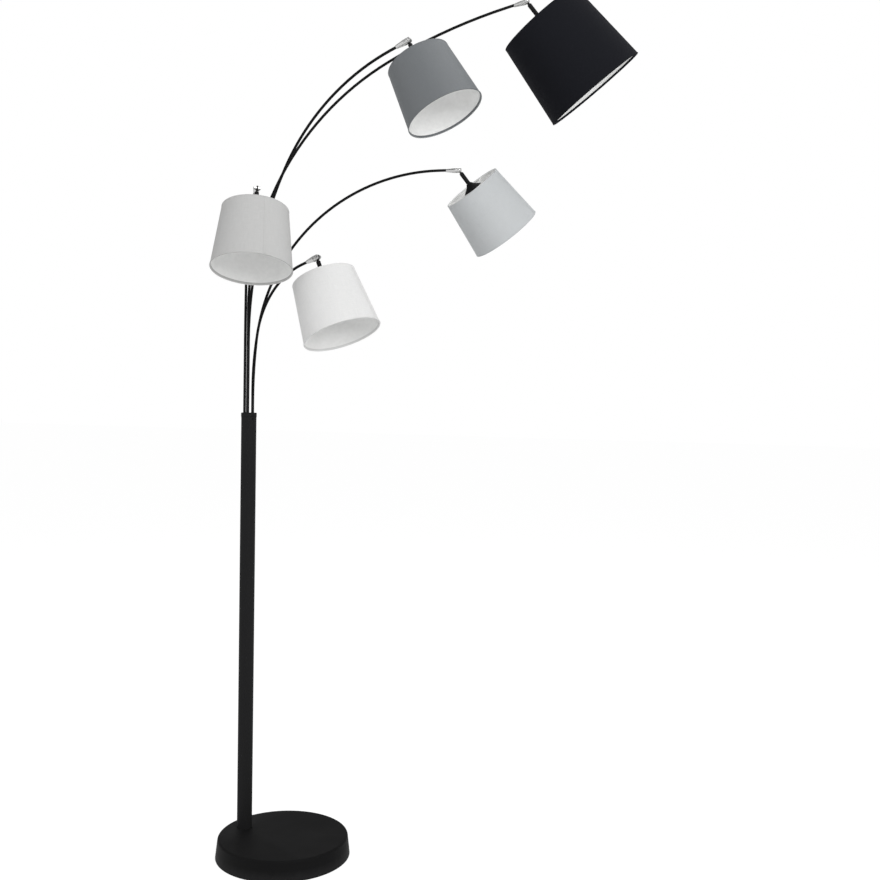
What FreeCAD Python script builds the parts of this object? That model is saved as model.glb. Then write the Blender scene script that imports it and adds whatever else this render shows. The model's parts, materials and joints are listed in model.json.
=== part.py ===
import FreeCAD, Part
import math
import os

import Sketcher

# Tree floor lamp: a round weighted base, one straight pole, and five thin bent
# arms that stand side by side in the pole's hub. Each arm ends in a chrome
# swivel joint that carries an open drum shade.
# Millimetres, +Z up. The origin is the centre of the base's underside, and
# +X points to the side that the arms lean to.

os.makedirs("parts", exist_ok=True)
doc = FreeCAD.newDocument("tree_floor_lamp")
sheet = doc.addObject("Spreadsheet::Sheet", "Sizes")

SIZES = {
    # base
    "base_radius": 150.0,
    "base_flare": 5.0,
    "base_height": 44.0,
    "base_edge_round": 5.0,
    "base_wall": 1.5,
    "cover_lift": 0.5,
    "pad_thickness": 2.0,
    "pad_side_gap": 1.5,
    "weight_side_gap": 3.5,
    "weight_edge_chamfer": 5.0,
    "recess_radius": 20.0,
    "recess_depth": 14.0,
    "stud_radius": 5.0,
    "stud_bore_radius": 3.5,
    "stud_clearance": 0.3,
    "stud_end": 2.0,
    "thread_gap": 0.02,
    "nut_across": 17.0,
    "nut_thickness": 6.0,
    "washer_radius": 12.0,
    "washer_thickness": 2.0,
    "gland_radius": 7.0,
    "gland_flange_radius": 9.0,
    "gland_flange_thickness": 2.0,
    "gland_bore_radius": 3.5,
    "gland_length": 8.0,
    "gland_height": 18.0,
    # pole
    "pole_inset": 48.0,
    "pole_radius": 17.0,
    "pole_wall": 1.5,
    "pole_top": 983.5,
    "plug_height": 22.0,
    "plug_gap": 0.05,
    # hub
    "cap_overhang": 0.5,
    "cap_height": 9.5,
    "cap_chamfer": 1.2,
    "spigot_length": 45.0,
    "spigot_gap": 0.05,
    "socket_wall": 2.4,
    "socket_ledge": 3.0,
    "wire_hole_radius": 2.1,
    "grub_radius": 2.0,
    "grub_length": 3.6,
    "grub_drop": 4.5,
    "grub_angle": -27.0,
    "grub_step": 144.0,
    # arm tubes
    "tube_radius": 3.0,
    "tube_wall": 0.8,
    "running_gap": 0.05,
    "tube_end_gap": 0.06,
    "joint_straight": 45.0,
    # swivel joint, measured from its pin
    "sleeve_length": 29.0,
    "sleeve_grip": 14.0,
    "sleeve_neck_wall": 1.15,
    "sleeve_head_radius": 6.5,
    "sleeve_wire_hole": 2.4,
    "fork_slot_room": 4.0,
    "fork_slot_overcut": 0.5,
    "tongue_thickness": 3.0,
    "tongue_side_gap": 0.15,
    "tongue_inset": 1.0,
    "tongue_shank_radius": 3.0,
    "tongue_shank_step": 0.4,
    "tongue_web_half": 2.6,
    "tongue_length": 24.0,
    "pin_radius": 2.0,
    "pin_seat_gap": 0.02,
    "pin_running_gap": 0.06,
    "pin_end_drop": 0.4,
    # stem and holder, measured from the pin down the shade's axis
    "stem_start": 8.8,
    "stem_end": 38.0,
    "stem_radius": 4.75,
    "stem_chamfer": 0.8,
    "stem_hollow_radius": 2.6,
    "stem_spigot_step": 0.75,
    "stem_spigot_length": 8.0,
    "cup_top_thickness": 3.0,
    "cup_wall": 1.2,
    "cup_neck_radius": 6.5,
    "cup_shoulder_drop": 5.0,
    "cup_shoulder_radius": 9.0,
    "cup_overhang": 9.0,
    "cup_lip": 1.8,
    "cup_flare_round": 18.0,
    "cup_height": 15.5,
    "holder_flange_lip": 2.5,
    "holder_flange_thickness": 2.0,
    "holder_radius": 14.0,
    "holder_length": 34.0,
    "holder_top_radius": 6.0,
    "holder_top_drop": 1.5,
    "lamp_bore_radius": 7.0,
    "lamp_bore_depth": 24.0,
    "nut_ring_width": 4.0,
    "nut_ring_height": 6.0,
    # shade frame and shades
    "frame_ring_thickness": 1.6,
    "wire_radius": 1.3,
    "wire_ring_drop": 2.0,
    "frame_side_gap": 0.2,
    "shade_wall": 1.2,
    "shade_start": 49.0,
    "hem_width": 5.0,
    "hem_thickness": 0.8,
}

# Each arm: where its socket stands in the hub, which way it leans, its straight
# foot above the hub, its two bends, and how its head is turned and tilted.
ARMS = {
    "black": {
        "socket_angle": 144.0, "lean": 17.7, "foot": 238.0,
        "first_radius": 635.0, "first_bend": 59.4,
        "second_radius": 1234.0, "second_bend": 13.2,
        "head_turn": 8.0, "head_bend": 67.4,
        "shade_top": 99.0, "shade_bottom": 117.5, "shade_height": 194.0,
    },
    "dark_grey": {
        "socket_angle": 288.0, "lean": 0.7, "foot": 165.5,
        "first_radius": 841.0, "first_bend": 26.4,
        "second_radius": 479.0, "second_bend": 41.6,
        "head_turn": 0.0, "head_bend": 83.5,
        "shade_top": 69.0, "shade_bottom": 84.0, "shade_height": 133.0,
    },
    "left_grey": {
        "socket_angle": 216.0, "lean": -50.8, "foot": 159.6,
        "first_radius": 1500.0, "first_bend": 7.0,
        "second_radius": 140.2, "second_bend": 77.0,
        "head_turn": -5.0, "head_bend": 80.2,
        "shade_top": 69.0, "shade_bottom": 84.0, "shade_height": 133.0,
    },
    "right_grey": {
        "socket_angle": 72.0, "lean": 25.2, "foot": 57.0,
        "first_radius": 801.0, "first_bend": 10.5,
        "second_radius": 433.0, "second_bend": 76.2,
        "head_turn": 15.5, "head_bend": 54.0,
        "shade_top": 69.0, "shade_bottom": 84.0, "shade_height": 133.0,
    },
    "white": {
        "socket_angle": 0.0, "lean": -14.4, "foot": 33.0,
        "first_radius": 891.0, "first_bend": 8.7,
        "second_radius": 192.0, "second_bend": 65.6,
        "head_turn": 1.0, "head_bend": 82.0,
        "shade_top": 69.0, "shade_bottom": 84.0, "shade_height": 133.0,
    },
}
SPOKE_COUNT = 3
GRUB_COUNT = 2

# Sizes that follow from others, as expressions.
BASE_TOP_RADIUS = "(base_radius - base_flare)"
WEIGHT_RADIUS = f"({BASE_TOP_RADIUS} - base_wall - weight_side_gap)"
POLE_SETBACK = "(base_radius - pole_inset)"
POLE_BORE = "(pole_radius - pole_wall)"
CAP_RADIUS = "(pole_radius + cap_overhang)"
SPIGOT_RADIUS = f"({POLE_BORE} - spigot_gap)"
TUBE_BORE = "(tube_radius + running_gap)"
SOCKET_RING = f"({SPIGOT_RADIUS} - socket_wall - {TUBE_BORE})"
SOCKET_FLOOR = "(pole_top - spigot_length + socket_ledge)"
FOOT_IN_HUB = "(cap_height + spigot_length - socket_ledge - tube_end_gap)"
TUBE_END = "(joint_straight - sleeve_length + sleeve_grip)"
TONGUE_RADIUS = "(sleeve_head_radius - tongue_inset)"
SLOT_DEPTH = f"({TONGUE_RADIUS} + fork_slot_room)"
TAPER_END = f"({SLOT_DEPTH} - fork_slot_overcut)"
SHANK_BORE = "(tongue_shank_radius + thread_gap)"
STEM_SPIGOT_RADIUS = "(stem_radius - stem_spigot_step)"
CUP_RIM_RADIUS = "(holder_radius + cup_overhang)"
SEAT = "(stem_end + cup_height)"

for arm, sizes in ARMS.items():
    for name, value in sizes.items():
        SIZES[f"{arm}_{name}"] = value
for row, (name, value) in enumerate(SIZES.items(), start=1):
    sheet.set(f"A{row}", name)
    sheet.set(f"B{row}", str(value))
    sheet.setAlias(f"B{row}", name)
doc.recompute()


def size(name):
    """The value of one cell of the sheet."""
    return float(sheet.get(name))


def bound(expression):
    """An expression in which every size's name is read from the sheet."""
    words = []
    word = ""
    for letter in expression + " ":
        if letter.isalnum() or letter == "_":
            word += letter
            continue
        words.append(f"Sizes.{word}" if word in SIZES else word)
        words.append(letter)
        word = ""
    return "".join(words).strip()


def value_of(expression):
    """The number that an expression of size names gives now."""
    result = sheet.evalExpression(bound(expression))
    return float(getattr(result, "Value", result))


# ---------------------------------------------------------------- operations

def new_body(label):
    body = doc.addObject("PartDesign::Body", label)
    body.Label = label
    return body


def new_sketch(body, name, plane):
    sketch = body.newObject("Sketcher::SketchObject", name)
    origin_plane = [f for f in body.Origin.OriginFeatures if f.Role == plane][0]
    sketch.AttachmentSupport = [(origin_plane, "")]
    sketch.MapMode = "FlatFace"
    return sketch


def bind(sketch, constraint, expression):
    """Adds a constraint and ties its value to the sheet."""
    index = sketch.addConstraint(constraint)
    sketch.setExpression(f"Constraints[{index}]", bound(expression))


def place_point(sketch, line, x, y):
    """Fixes the start of a line at (x, y), both expressions."""
    if x == "0":
        sketch.addConstraint(Sketcher.Constraint("PointOnObject", line, 1, -2))
    else:
        bind(sketch, Sketcher.Constraint("DistanceX", -1, 1, line, 1, value_of(x)), x)
    if y == "0":
        sketch.addConstraint(Sketcher.Constraint("PointOnObject", line, 1, -1))
    else:
        bind(sketch, Sketcher.Constraint("DistanceY", -1, 1, line, 1, value_of(y)), y)


def draw_outline(sketch, corners):
    """A closed outline through corners given as pairs of expressions."""
    points = [FreeCAD.Vector(value_of(x), value_of(y), 0) for x, y in corners]
    count = len(points)
    for i in range(count):
        sketch.addGeometry(Part.LineSegment(points[i], points[(i + 1) % count]))
    for i in range(count):
        sketch.addConstraint(Sketcher.Constraint("Coincident", i, 2, (i + 1) % count, 1))
    for i, (x, y) in enumerate(corners):
        place_point(sketch, i, x, y)


def draw_circle(sketch, radius, x="0", y="0"):
    """A circle whose radius and centre are expressions."""
    centre = FreeCAD.Vector(value_of(x), value_of(y), 0)
    circle = sketch.addGeometry(Part.Circle(centre, FreeCAD.Vector(0, 0, 1), value_of(radius)))
    bind(sketch, Sketcher.Constraint("Radius", circle, value_of(radius)), radius)
    if x == "0" and y == "0":
        sketch.addConstraint(Sketcher.Constraint("Coincident", circle, 3, -1, 1))
        return
    bind(sketch, Sketcher.Constraint("DistanceX", -1, 1, circle, 3, value_of(x)), x)
    bind(sketch, Sketcher.Constraint("DistanceY", -1, 1, circle, 3, value_of(y)), y)


def spin(body, outline, axis="V_Axis"):
    """Revolves an outline of the body's XZ plane about one of its axes."""
    sketch = new_sketch(body, body.Label + "_outline", "XZ_Plane")
    draw_outline(sketch, outline)
    revolution = body.newObject("PartDesign::Revolution", body.Label + "_spin")
    revolution.Profile = sketch
    revolution.ReferenceAxis = (sketch, [axis])
    revolution.Angle = 360
    body.Tip = revolution
    doc.recompute()
    return revolution


def cut_through(body, sketch, name, length):
    """Cuts a sketch out of the body, the same way to both sides of its plane."""
    before = body.Shape.Volume
    pocket = body.newObject("PartDesign::Pocket", name)
    pocket.Profile = sketch
    pocket.SideType = "Symmetric"
    pocket.Type = "Length"
    pocket.setExpression("Length", bound(length))
    body.Tip = pocket
    doc.recompute()
    if not body.Shape.Volume < before - 0.01:
        raise RuntimeError(f"{name} cuts nothing")
    return pocket


def pad_both_ways(body, sketch, name, thickness):
    """Adds a sketch to the body, the same way to both sides of its plane."""
    pad = body.newObject("PartDesign::Pad", name)
    pad.Profile = sketch
    pad.SideType = "Symmetric"
    pad.setExpression("Length", bound(thickness))
    body.Tip = pad
    doc.recompute()


def dress_edges(body, kind, name, rings, amount):
    """Fillets or chamfers the round edges at the given (radius, height) pairs."""
    names = []
    for index, edge in enumerate(body.Shape.Edges, start=1):
        curve = edge.Curve
        if not isinstance(curve, Part.Circle):
            continue
        for radius, height in rings:
            near = abs(curve.Radius - value_of(radius)) < 0.001
            if near and abs(curve.Center.z - value_of(height)) < 0.001:
                names.append(f"Edge{index}")
    if len(names) != len(rings):
        raise RuntimeError(f"{name} found {len(names)} edges")
    solid = body.Tip
    dress = body.newObject("PartDesign::" + kind, name)
    dress.Base = (solid, names)
    dress.setExpression("Radius" if kind == "Fillet" else "Size", bound(amount))
    body.Tip = dress
    doc.recompute()
    return dress


def turned(label, outline):
    """A body turned about its own Z axis from (radius, height) corners."""
    body = new_body(label)
    spin(body, outline)
    return body


# ------------------------------------------------------------- base and pole

pole_place = FreeCAD.Placement()
pole_place.Base = FreeCAD.Vector(-value_of(POLE_SETBACK), 0, 0)


def bolt_hole(body, radius):
    """A hole for the stud, through the body at the pole's axis."""
    sketch = new_sketch(body, body.Label + "_hole", "XY_Plane")
    draw_circle(sketch, radius, f"-{POLE_SETBACK}", "0")
    cut_through(body, sketch, body.Label + "_hole_cut", "4 * base_height")


def base_cover():
    """A spun shell with a slightly flared side and a rounded top edge."""
    body = turned("base_cover", [
        ("0", "base_height"),
        (BASE_TOP_RADIUS, "base_height"),
        ("base_radius", "cover_lift"),
        ("base_radius - base_wall", "cover_lift"),
        (f"{BASE_TOP_RADIUS} - base_wall", "base_height - base_wall"),
        ("0", "base_height - base_wall"),
    ])
    dress_edges(body, "Fillet", "cover_top_round",
                [(BASE_TOP_RADIUS, "base_height")], "base_edge_round")
    dress_edges(body, "Fillet", "cover_inner_round",
                [(f"{BASE_TOP_RADIUS} - base_wall", "base_height - base_wall")],
                "base_edge_round - base_wall")
    bolt_hole(body, "stud_radius + stud_clearance")
    gland_seat(body)
    return body


def gland_place():
    """The gland stands square on the cover's flared side, behind the pole."""
    slope = size("base_flare") / (size("base_height") - size("cover_lift"))
    face = size("base_radius") - slope * (size("gland_height") - size("cover_lift"))
    lean = math.degrees(math.atan(slope))
    return FreeCAD.Placement(
        FreeCAD.Vector(-face, 0, size("gland_height")),
        FreeCAD.Rotation(FreeCAD.Vector(0, 1, 0), 90 + lean))


def gland_seat(body):
    """The hole in the cover's side that holds the gland."""
    sketch = body.newObject("Sketcher::SketchObject", "gland_hole")
    sketch.Placement = gland_place()
    draw_circle(sketch, "gland_radius + thread_gap")
    cut_through(body, sketch, "gland_hole_cut", "8 * base_wall")


def base_weight():
    """A cast disc with a recess for the nut and a channel for the lead."""
    top = "base_height - base_wall"
    body = turned("base_weight", [
        ("0", "pad_thickness"),
        (WEIGHT_RADIUS, "pad_thickness"),
        (WEIGHT_RADIUS, top),
        ("0", top),
    ])
    dress_edges(body, "Chamfer", "weight_edge", [(WEIGHT_RADIUS, top)], "weight_edge_chamfer")
    bolt_hole(body, "stud_radius + stud_clearance")
    recess = new_sketch(body, "weight_recess", "XY_Plane")
    draw_circle(recess, "recess_radius", f"-{POLE_SETBACK}", "0")
    cut_through(body, recess, "weight_recess_cut", "2 * (pad_thickness + recess_depth)")
    channel = new_sketch(body, "lead_channel", "XZ_Plane")
    inner = f"-({POLE_SETBACK} + washer_radius + stud_clearance)"
    high = "gland_height + gland_bore_radius + base_wall"
    draw_outline(channel, [
        ("-base_radius", "0"),
        (inner, "0"),
        (inner, high),
        ("-base_radius", high),
    ])
    cut_through(body, channel, "lead_channel_cut", "2 * gland_radius")
    return body


def base_pad():
    """The soft disc that the lamp rests on."""
    return turned("base_pad", [
        ("0", "0"),
        ("base_radius - base_wall - pad_side_gap", "0"),
        ("base_radius - base_wall - pad_side_gap", "pad_thickness"),
        ("0", "pad_thickness"),
    ])


def pole_stud():
    """The threaded tube from the weight's recess up into the foot plug."""
    low = "pad_thickness + recess_depth - washer_thickness - nut_thickness - stud_end"
    high = "base_height + plug_height"
    body = turned("pole_stud", [
        ("stud_bore_radius", low),
        ("stud_radius", low),
        ("stud_radius", high),
        ("stud_bore_radius", high),
    ])
    body.Placement = pole_place
    return body


def base_fasteners():
    """The washer and hexagon nut under the weight, one node of two solids."""
    seat = size("pad_thickness") + size("recess_depth")
    bore = size("stud_radius") + size("thread_gap")
    washer = Part.makeCylinder(size("washer_radius"), size("washer_thickness"),
                               FreeCAD.Vector(0, 0, seat - size("washer_thickness")))
    washer = washer.cut(Part.makeCylinder(bore, seat * 2))
    reach = size("nut_across") / math.sqrt(3)
    low = seat - size("washer_thickness") - size("nut_thickness")
    corners = []
    for side in range(7):
        angle = math.radians(60 * side)
        corners.append(FreeCAD.Vector(reach * math.cos(angle), reach * math.sin(angle), low))
    nut = Part.Face(Part.makePolygon(corners))
    nut = nut.extrude(FreeCAD.Vector(0, 0, size("nut_thickness")))
    nut = nut.cut(Part.makeCylinder(bore, seat * 2))
    feature = doc.addObject("Part::Feature", "base_fasteners")
    feature.Shape = Part.makeCompound([washer, nut])
    feature.Placement = pole_place
    return feature


def cable_gland():
    """The flanged bush in the base's rear edge, its bore left open."""
    body = turned("cable_gland", [
        ("gland_bore_radius", "-gland_flange_thickness"),
        ("gland_flange_radius", "-gland_flange_thickness"),
        ("gland_flange_radius", "0"),
        ("gland_radius", "0"),
        ("gland_radius", "gland_length - gland_flange_thickness"),
        ("gland_bore_radius", "gland_length - gland_flange_thickness"),
    ])
    body.Placement = gland_place()
    return body


def grub_place(number):
    """A grub screw's outer end on the pole's skin, and its way out."""
    angle = math.radians(size("grub_angle") + number * size("grub_step"))
    way = FreeCAD.Vector(math.cos(angle), math.sin(angle), 0)
    end = way * size("pole_radius")
    end.z = size("pole_top") - size("grub_drop")
    return end, way


def drill_grub_holes(body):
    """Radial holes for the grub screws, cut one after the other."""
    for number in range(GRUB_COUNT):
        end, way = grub_place(number)
        sketch = body.newObject("Sketcher::SketchObject", f"{body.Label}_grub_{number + 1}")
        sketch.Placement = FreeCAD.Placement(
            end + way * size("cap_overhang"), FreeCAD.Rotation(FreeCAD.Vector(0, 0, 1), way))
        draw_circle(sketch, "grub_radius + thread_gap")
        before = body.Shape.Volume
        pocket = body.newObject("PartDesign::Pocket", f"{body.Label}_grub_cut_{number + 1}")
        pocket.Profile = sketch
        pocket.Type = "Length"
        pocket.setExpression("Length", bound("grub_length + cap_overhang"))
        body.Tip = pocket
        doc.recompute()
        if not body.Shape.Volume < before - 0.01:
            raise RuntimeError("a grub hole cuts nothing")


def pole_tube():
    body = turned("pole_tube", [
        (POLE_BORE, "base_height"),
        ("pole_radius", "base_height"),
        ("pole_radius", "pole_top"),
        (POLE_BORE, "pole_top"),
    ])
    drill_grub_holes(body)
    body.Placement = pole_place
    return body


def foot_plug():
    """The threaded plug that the stud screws into."""
    body = turned("foot_plug", [
        ("stud_radius + thread_gap", "base_height"),
        (f"{POLE_BORE} - plug_gap", "base_height"),
        (f"{POLE_BORE} - plug_gap", "base_height + plug_height"),
        ("stud_radius + thread_gap", "base_height + plug_height"),
    ])
    body.Placement = pole_place
    return body


def pole_hub():
    """The turned head of the pole, with a spigot and five stepped sockets."""
    low = "pole_top - spigot_length"
    top = "pole_top + cap_height"
    body = turned("pole_hub", [
        ("0", low),
        (SPIGOT_RADIUS, low),
        (SPIGOT_RADIUS, "pole_top"),
        (CAP_RADIUS, "pole_top"),
        (CAP_RADIUS, top),
        ("0", top),
    ])
    dress_edges(body, "Chamfer", "hub_chamfer", [(CAP_RADIUS, top)], "cap_chamfer")
    for arm in ARMS:
        angle = f"{arm}_socket_angle * 1 deg"
        x = f"{SOCKET_RING} * cos({angle})"
        y = f"{SOCKET_RING} * sin({angle})"
        wires = new_sketch(body, f"hub_wires_{arm}", "XY_Plane")
        draw_circle(wires, "wire_hole_radius", x, y)
        cut_through(body, wires, f"hub_wires_cut_{arm}", "4 * pole_top")
        socket = new_sketch(body, f"hub_socket_{arm}", "XY_Plane")
        socket.AttachmentOffset = FreeCAD.Placement(
            FreeCAD.Vector(0, 0, value_of(SOCKET_FLOOR) + 10 * size("spigot_length")),
            FreeCAD.Rotation())
        draw_circle(socket, TUBE_BORE, x, y)
        cut_through(body, socket, f"hub_socket_cut_{arm}", "20 * spigot_length")
    drill_grub_holes(body)
    body.Placement = pole_place
    return body


def hub_screws():
    """The grub screws that fix the hub in the pole, one node of two solids."""
    screws = []
    for number in range(GRUB_COUNT):
        end, way = grub_place(number)
        screws.append(Part.makeCylinder(size("grub_radius"), size("grub_length"), end, -way))
    feature = doc.addObject("Part::Feature", "hub_screws")
    feature.Shape = Part.makeCompound(screws)
    feature.Placement = pole_place
    return feature


# ---------------------------------------------------------------------- arms

def arm_frame(arm):
    """The arm's vertical plane: its foot on the ledge, X to where it leans."""
    angle = math.radians(size(f"{arm}_socket_angle"))
    ring = value_of(SOCKET_RING)
    foot = FreeCAD.Vector(ring * math.cos(angle) - value_of(POLE_SETBACK),
                          ring * math.sin(angle),
                          value_of(SOCKET_FLOOR) + size("tube_end_gap"))
    return FreeCAD.Placement(
        foot, FreeCAD.Rotation(FreeCAD.Vector(0, 0, 1), size(f"{arm}_lean")))


def arm_line(arm):
    """Points of the arm's centre line in its plane, as (out, up) pairs.

    Each bend's centre lies on the side that the arm leans to. The result is
    the corners where line and arcs meet, the arcs' centres and the end angle.
    """
    rise = value_of(f"{FOOT_IN_HUB} + {arm}_foot")
    points = [(0.0, 0.0), (0.0, rise)]
    centres = []
    angle = 90.0
    for bend in ("first", "second"):
        radius = size(f"{arm}_{bend}_radius")
        x, z = points[-1]
        centre = (x + radius * math.sin(math.radians(angle)),
                  z - radius * math.cos(math.radians(angle)))
        angle -= size(f"{arm}_{bend}_bend")
        points.append((centre[0] - radius * math.sin(math.radians(angle)),
                       centre[1] + radius * math.cos(math.radians(angle))))
        centres.append(centre)
    return points, centres, angle


def arm_tube(arm):
    """A thin tube swept along foot, two tangent bends and a straight end."""
    body = new_body(f"{arm}_arm_tube")
    points, centres, angle = arm_line(arm)
    straight = value_of(TUBE_END)
    slope = math.radians(angle)
    end = (points[-1][0] + straight * math.cos(slope),
           points[-1][1] + straight * math.sin(slope))
    path = new_sketch(body, f"{arm}_path", "XZ_Plane")

    def flat(point):
        return FreeCAD.Vector(point[0], point[1], 0)

    path.addGeometry(Part.LineSegment(flat(points[0]), flat(points[1])))
    for number, bend in enumerate(("first", "second")):
        radius = size(f"{arm}_{bend}_radius")
        circle = Part.Circle(flat(centres[number]), FreeCAD.Vector(0, 0, 1), radius)
        begin, finish = points[number + 1], points[number + 2]
        centre = centres[number]
        low = math.atan2(finish[1] - centre[1], finish[0] - centre[0])
        high = math.atan2(begin[1] - centre[1], begin[0] - centre[0])
        path.addGeometry(Part.ArcOfCircle(circle, low, high))
    path.addGeometry(Part.LineSegment(flat(points[-1]), flat(end)))
    path.addConstraint(Sketcher.Constraint("Coincident", 0, 1, -1, 1))
    path.addConstraint(Sketcher.Constraint("Vertical", 0))
    path.addConstraint(Sketcher.Constraint("Tangent", 0, 2, 1, 2))
    path.addConstraint(Sketcher.Constraint("Tangent", 1, 1, 2, 2))
    path.addConstraint(Sketcher.Constraint("Tangent", 2, 1, 3, 1))
    foot = f"{FOOT_IN_HUB} + {arm}_foot"
    bind(path, Sketcher.Constraint("Distance", 0, value_of(foot)), foot)
    for number, bend in enumerate(("first", "second"), start=1):
        radius = f"{arm}_{bend}_radius"
        bind(path, Sketcher.Constraint("Radius", number, value_of(radius)), radius)
        turn = f"{arm}_{bend}_bend * 1 deg"
        amount = math.radians(size(f"{arm}_{bend}_bend"))
        bind(path, Sketcher.Constraint("Angle", number, amount), turn)
    bind(path, Sketcher.Constraint("Distance", 3, straight), TUBE_END)
    ring = new_sketch(body, f"{arm}_ring", "XY_Plane")
    draw_circle(ring, "tube_radius")
    draw_circle(ring, "tube_radius - tube_wall")
    pipe = body.newObject("PartDesign::AdditivePipe", f"{arm}_pipe")
    pipe.Profile = ring
    pipe.Spine = (path, [])
    body.Tip = pipe
    doc.recompute()
    body.Placement = arm_frame(arm)
    return body


def joint_frame(arm):
    """The pin's place: X along the arm's end, Y along the pin, turned with it."""
    points, _, angle = arm_line(arm)
    slope = math.radians(angle)
    reach = size("joint_straight")
    pin = FreeCAD.Vector(points[-1][0] + reach * math.cos(slope), 0,
                         points[-1][1] + reach * math.sin(slope))
    upward = FreeCAD.Rotation(FreeCAD.Vector(0, 1, 0), -angle)
    turn = FreeCAD.Rotation(FreeCAD.Vector(1, 0, 0), size(f"{arm}_head_turn"))
    return arm_frame(arm).multiply(FreeCAD.Placement(pin, upward.multiply(turn)))


def head_frame(arm):
    """The head's place: the same pin, with Z pointing down the shade's axis."""
    bend = FreeCAD.Rotation(FreeCAD.Vector(0, 1, 0), 90 + size(f"{arm}_head_bend"))
    return joint_frame(arm).multiply(FreeCAD.Placement(FreeCAD.Vector(), bend))


def joint_sleeve(arm):
    """A chrome taper, bored for the tube and slotted into a fork at the pin."""
    body = new_body(f"{arm}_joint_sleeve")
    grip = "-sleeve_length + sleeve_grip"
    spin(body, [
        ("-sleeve_length", TUBE_BORE),
        ("-sleeve_length", f"{TUBE_BORE} + sleeve_neck_wall"),
        (f"-{TAPER_END}", "sleeve_head_radius"),
        ("sleeve_head_radius", "sleeve_head_radius"),
        ("sleeve_head_radius", "0"),
        (f"-{TAPER_END}", "0"),
        (f"-{TAPER_END}", "sleeve_wire_hole"),
        (grip, "sleeve_wire_hole"),
        (grip, TUBE_BORE),
    ], "H_Axis")
    nose = new_sketch(body, f"{arm}_fork_nose", "XZ_Plane")
    draw_nose(nose, "sleeve_head_radius")
    cut_through(body, nose, f"{arm}_fork_nose_cut", "4 * sleeve_head_radius")
    slot = new_sketch(body, f"{arm}_fork_slot", "XZ_Plane")
    wide = "2 * sleeve_head_radius"
    draw_outline(slot, [
        (f"-{SLOT_DEPTH}", f"-({wide})"),
        (wide, f"-({wide})"),
        (wide, wide),
        (f"-{SLOT_DEPTH}", wide),
    ])
    cut_through(body, slot, f"{arm}_fork_slot_cut", "tongue_thickness + 2 * tongue_side_gap")
    hole = new_sketch(body, f"{arm}_pin_hole", "XZ_Plane")
    draw_circle(hole, "pin_radius + pin_seat_gap")
    cut_through(body, hole, f"{arm}_pin_hole_cut", "4 * sleeve_head_radius")
    body.Placement = joint_frame(arm)
    return body


def draw_nose(sketch, radius):
    """The waste outside a half round nose of the given radius about the pin."""
    amount = value_of(radius)
    centre = FreeCAD.Vector(0, 0, 0)
    far = amount * 2
    up = FreeCAD.Vector(0, 1, 0)
    out = FreeCAD.Vector(1, 0, 0)
    arc = Part.ArcOfCircle(Part.Circle(centre, FreeCAD.Vector(0, 0, 1), amount),
                           -math.pi / 2, math.pi / 2)
    corners = [up * amount, up * far, up * far + out * far,
               out * far - up * far, up * -far, up * -amount]
    sketch.addGeometry(arc)
    for start, end in zip(corners, corners[1:]):
        sketch.addGeometry(Part.LineSegment(start, end))
    last = len(corners) - 1
    sketch.addConstraint(Sketcher.Constraint("Coincident", 0, 3, -1, 1))
    sketch.addConstraint(Sketcher.Constraint("Coincident", 0, 2, 1, 1))
    for line in range(1, last):
        sketch.addConstraint(Sketcher.Constraint("Coincident", line, 2, line + 1, 1))
    sketch.addConstraint(Sketcher.Constraint("Coincident", last, 2, 0, 1))
    bind(sketch, Sketcher.Constraint("Radius", 0, amount), radius)
    sketch.addConstraint(Sketcher.Constraint("PointOnObject", 0, 1, -2))
    sketch.addConstraint(Sketcher.Constraint("Vertical", 1))
    sketch.addConstraint(Sketcher.Constraint("Horizontal", 2))
    sketch.addConstraint(Sketcher.Constraint("Vertical", 3))
    sketch.addConstraint(Sketcher.Constraint("Horizontal", 4))
    sketch.addConstraint(Sketcher.Constraint("Vertical", 5))
    bind(sketch, Sketcher.Constraint("DistanceX", -1, 1, 2, 2, far), f"2 * {radius}")
    bind(sketch, Sketcher.Constraint("DistanceY", -1, 1, 2, 2, far), f"2 * {radius}")
    bind(sketch, Sketcher.Constraint("DistanceY", -1, 1, 4, 1, -far), f"-2 * {radius}")


def joint_screw(arm):
    """The pin across the fork, as long as the fork is wide."""
    pin = doc.addObject("Part::Cylinder", f"{arm}_joint_screw")
    pin.setExpression("Radius", bound("pin_radius"))
    pin.setExpression("Height", bound("2 * (sleeve_head_radius - pin_end_drop)"))
    half = size("sleeve_head_radius") - size("pin_end_drop")
    across = FreeCAD.Placement(FreeCAD.Vector(0, half, 0),
                               FreeCAD.Rotation(FreeCAD.Vector(1, 0, 0), 90))
    pin.Placement = joint_frame(arm).multiply(across)
    return pin


def joint_tongue(arm):
    """A flat eye on the pin, with a round shank down into the stem."""
    body = new_body(f"{arm}_joint_tongue")
    shoulder = "stem_start - tongue_shank_step"
    spin(body, [
        ("0", shoulder),
        ("tongue_shank_radius", shoulder),
        ("tongue_shank_radius", "tongue_length"),
        ("0", "tongue_length"),
    ])
    web = new_sketch(body, f"{arm}_web", "XZ_Plane")
    draw_outline(web, [
        ("-tongue_web_half", "0"),
        ("tongue_web_half", "0"),
        ("tongue_web_half", "stem_start"),
        ("-tongue_web_half", "stem_start"),
    ])
    pad_both_ways(body, web, f"{arm}_web_pad", "tongue_thickness")
    eye = new_sketch(body, f"{arm}_eye", "XZ_Plane")
    draw_circle(eye, TONGUE_RADIUS)
    pad_both_ways(body, eye, f"{arm}_eye_pad", "tongue_thickness")
    hole = new_sketch(body, f"{arm}_eye_hole", "XZ_Plane")
    draw_circle(hole, "pin_radius + pin_running_gap")
    cut_through(body, hole, f"{arm}_eye_hole_cut", "4 * tongue_thickness")
    body.Placement = head_frame(arm)
    return body


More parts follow.
